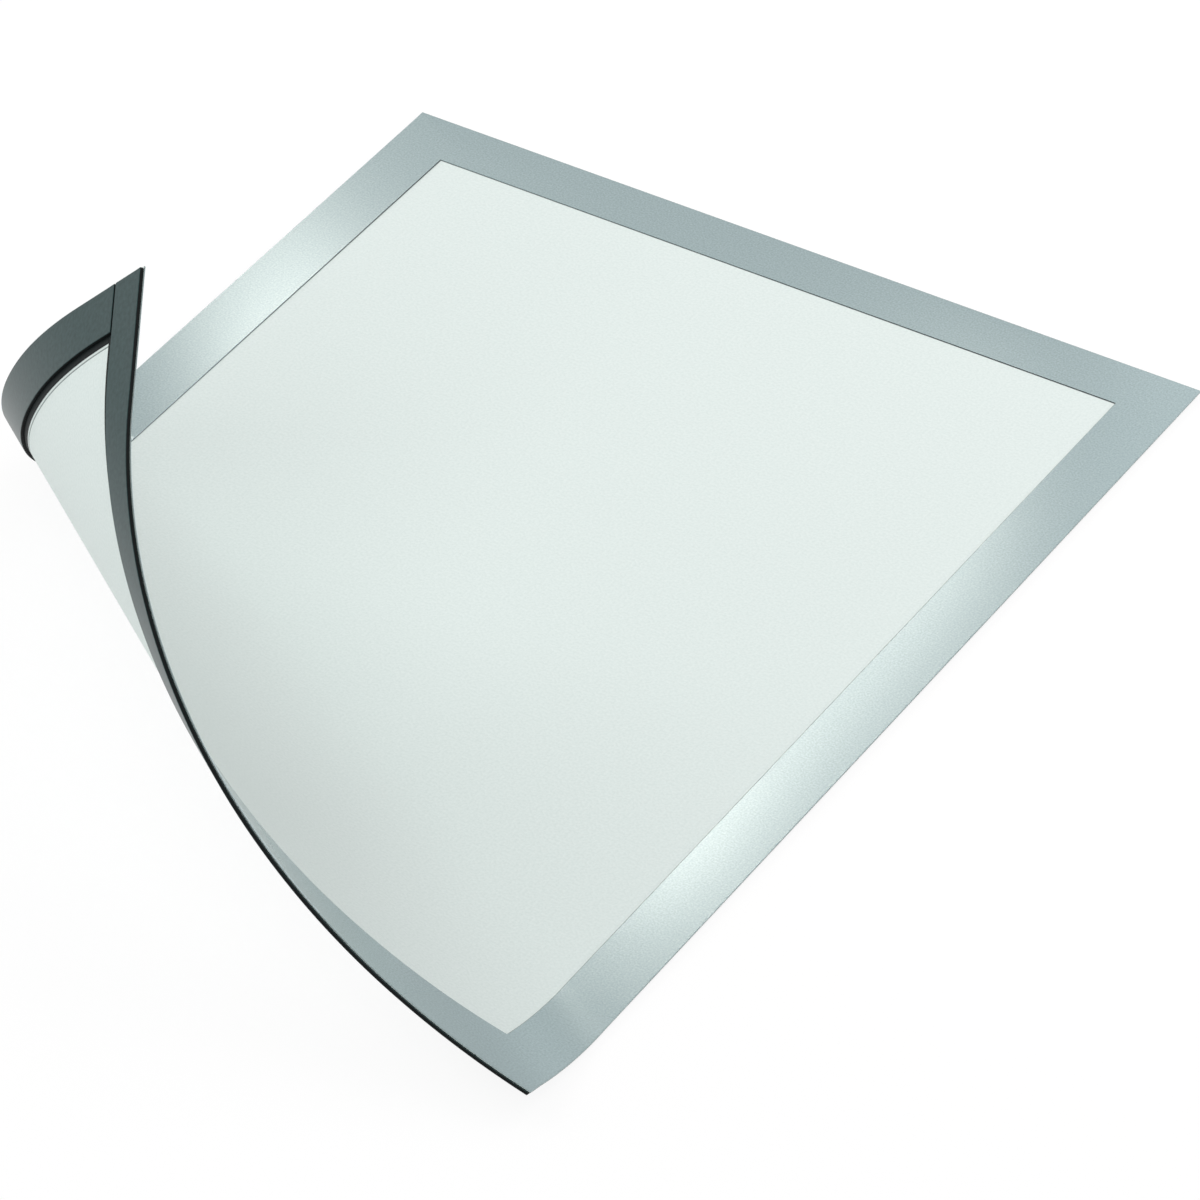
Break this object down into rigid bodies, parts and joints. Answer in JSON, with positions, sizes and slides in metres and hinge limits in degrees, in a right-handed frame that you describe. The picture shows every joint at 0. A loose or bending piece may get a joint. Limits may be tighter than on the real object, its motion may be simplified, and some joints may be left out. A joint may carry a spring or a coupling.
{
  "type": "magnetic document frame",
  "caption": "Thin flexible magnetic document frame: silver border round a matt window film, dark magnetic strips on the back, one corner peeled up and curling over.",
  "frame": {"origin": "middle of the panel on the back plane, where the magnetic strips meet the surface behind", "axes": "+X to the panel's right, +Y to its top edge, +Z out of its front face"},
  "size_m": [0.2367, 0.3225, 0.1171],
  "materials": {
    "border": "metallic silver foil with fine sparkle",
    "film": "milky anti-glare film with fine grain",
    "magnet": "satin anthracite magnetic rubber",
    "tape": "black double-sided tape"
  },
  "bodies": {
    "panel": {"window_film": "film", "front_border": "border", "top_tape": "tape", "right_tape": "tape", "left_tape": "tape", "top_magnet": "magnet", "right_magnet": "magnet", "left_magnet": "magnet"},
    "curl_1": {"window_film_1": "film", "front_border_right_1": "border", "front_border_left_1": "border", "left_tape_1": "tape", "bottom_tape_1": "tape", "right_tape_1": "tape", "left_magnet_1": "magnet", "bottom_magnet_1": "magnet", "right_magnet_1": "magnet"},
    "curl_2": {"window_film_2": "film", "front_border_left_2": "border", "front_border_bottom_2": "border", "left_tape_2": "tape", "bottom_tape_2": "tape", "left_magnet_2": "magnet", "bottom_magnet_2": "magnet"},
    "curl_3": {"window_film_3": "film", "front_border_left_3": "border", "front_border_bottom_3": "border", "left_tape_3": "tape", "bottom_tape_3": "tape", "left_magnet_3": "magnet", "bottom_magnet_3": "magnet"},
    "curl_4": {"window_film_4": "film", "front_border_left_4": "border", "front_border_bottom_4": "border", "left_tape_4": "tape", "bottom_tape_4": "tape", "left_magnet_4": "magnet", "bottom_magnet_4": "magnet"},
    "curl_5": {"window_film_5": "film", "front_border_left_5": "border", "front_border_bottom_5": "border", "left_tape_5": "tape", "bottom_tape_5": "tape", "left_magnet_5": "magnet", "bottom_magnet_5": "magnet"},
    "curl_6": {"window_film_6": "film", "front_border_corner_6": "border", "left_tape_6": "tape", "bottom_tape_6": "tape", "left_magnet_6": "magnet", "bottom_magnet_6": "magnet"}
  },
  "joints": [
    {"name": "peel_1", "type": "hinge", "parent": "panel", "child": "curl_1", "pos_m": [-0.118, 0.0055, 0.00148], "axis": [-0.8496, 0.5274, 0], "range_deg": [-20.2, 8]},
    {"name": "peel_2", "type": "hinge", "parent": "curl_1", "child": "curl_2", "pos_m": [-0.11758, -0.00901, 0.00593], "axis": [-0.8229, 0.568, -0.0179], "range_deg": [-20.2, 8]},
    {"name": "peel_3", "type": "hinge", "parent": "curl_2", "child": "curl_3", "pos_m": [-0.11552, -0.02513, 0.01642], "axis": [-0.7996, 0.5984, -0.0503], "range_deg": [-20.2, 8]},
    {"name": "peel_4", "type": "hinge", "parent": "curl_3", "child": "curl_4", "pos_m": [-0.11018, -0.04057, 0.03331], "axis": [-0.7835, 0.6148, -0.0906], "range_deg": [-20.2, 8]},
    {"name": "peel_5", "type": "hinge", "parent": "curl_4", "child": "curl_5", "pos_m": [-0.09976, -0.05312, 0.05565], "axis": [-0.7765, 0.6171, -0.1272], "range_deg": [-20.2, 8]},
    {"name": "peel_6", "type": "hinge", "parent": "curl_5", "child": "curl_6", "pos_m": [-0.08265, -0.06112, 0.08125], "axis": [-0.7767, 0.6148, -0.137], "range_deg": [-20.2, 8]}
  ],
  "couplings": [
    {"joint": "peel_2", "follows": "peel_1", "ratio": 1},
    {"joint": "peel_3", "follows": "peel_1", "ratio": 1},
    {"joint": "peel_4", "follows": "peel_1", "ratio": 1},
    {"joint": "peel_5", "follows": "peel_1", "ratio": 1},
    {"joint": "peel_6", "follows": "peel_1", "ratio": 1}
  ]
}
